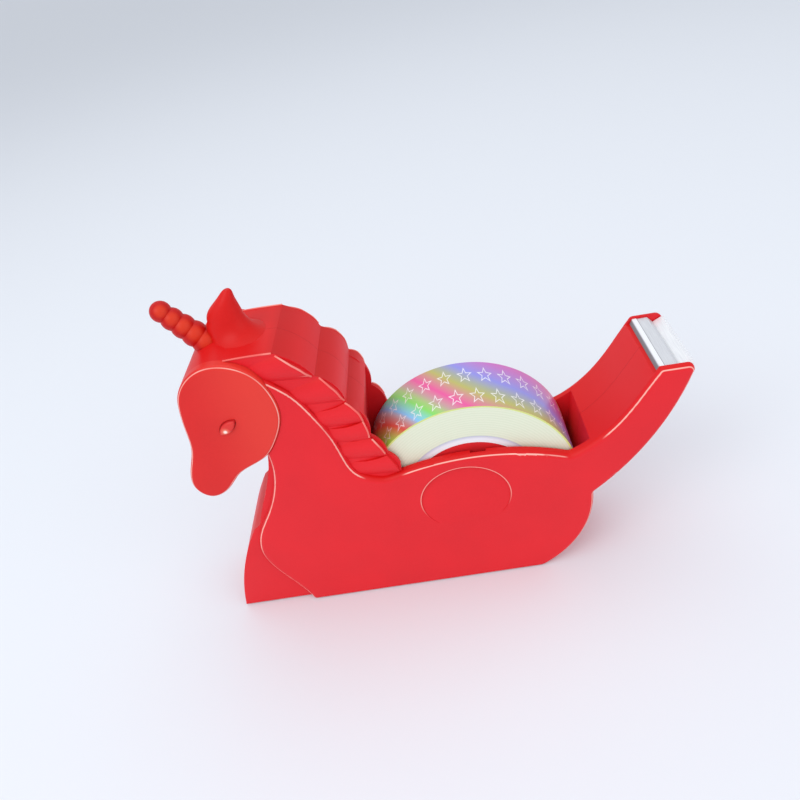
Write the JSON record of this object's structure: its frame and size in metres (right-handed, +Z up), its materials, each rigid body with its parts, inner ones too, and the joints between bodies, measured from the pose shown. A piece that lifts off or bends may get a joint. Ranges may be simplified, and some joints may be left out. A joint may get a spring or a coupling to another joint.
{
  "type": "desk tape dispenser",
  "caption": "Desk tape dispenser moulded as a unicorn: hollow half shells, a lift-out tape roll on a hub between side walls, and a toothed cutter held in the curled tail.",
  "frame": {"origin": "on the resting plane straight below the tape axle, on the seam between the shells", "axes": "+Z up, +X from the head towards the tail and cutter, +Y towards the animal's right side"},
  "size_m": [0.0997, 0.0226, 0.0747],
  "materials": {
    "shell_red": "satin moulded plastic",
    "eye_red": "polished",
    "hub_red": "moulded",
    "core_white": "moulded",
    "tape_print": "printed film",
    "steel": "bright",
    "rest_silver": "brushed",
    "ballast_iron": "rough cast",
    "cover_red": "moulded",
    "pad_rubber": "matte"
  },
  "bodies": {
    "stand": {"left_shell": "shell_red", "right_shell": "shell_red", "left_face_panel": "shell_red", "right_face_panel": "shell_red", "left_eye": "eye_red", "right_eye": "eye_red", "horn": "shell_red", "ear": "shell_red", "tape_rest": "rest_silver", "cutter_blade": "steel", "base_cover": "cover_red", "ballast_weight": "ballast_iron", "front_pad": "pad_rubber", "rear_pad": "pad_rubber", "shell_screws": "steel", "base_screws": "steel"},
    "axle": {"axle_pin": "steel"},
    "roll": {"hub": "hub_red", "tape_core": "core_white", "tape_roll": "tape_print"}
  },
  "joints": [
    {"name": "roll_lift", "type": "slide", "parent": "stand", "child": "axle", "axis": [0.1736, 0, 0.9848], "range_m": [0, 0.04]},
    {"name": "roll_spin", "type": "hinge", "parent": "axle", "child": "roll", "pos_m": [0, 0, 0.0239], "axis": [0, 1, 0], "continuous": true}
  ]
}
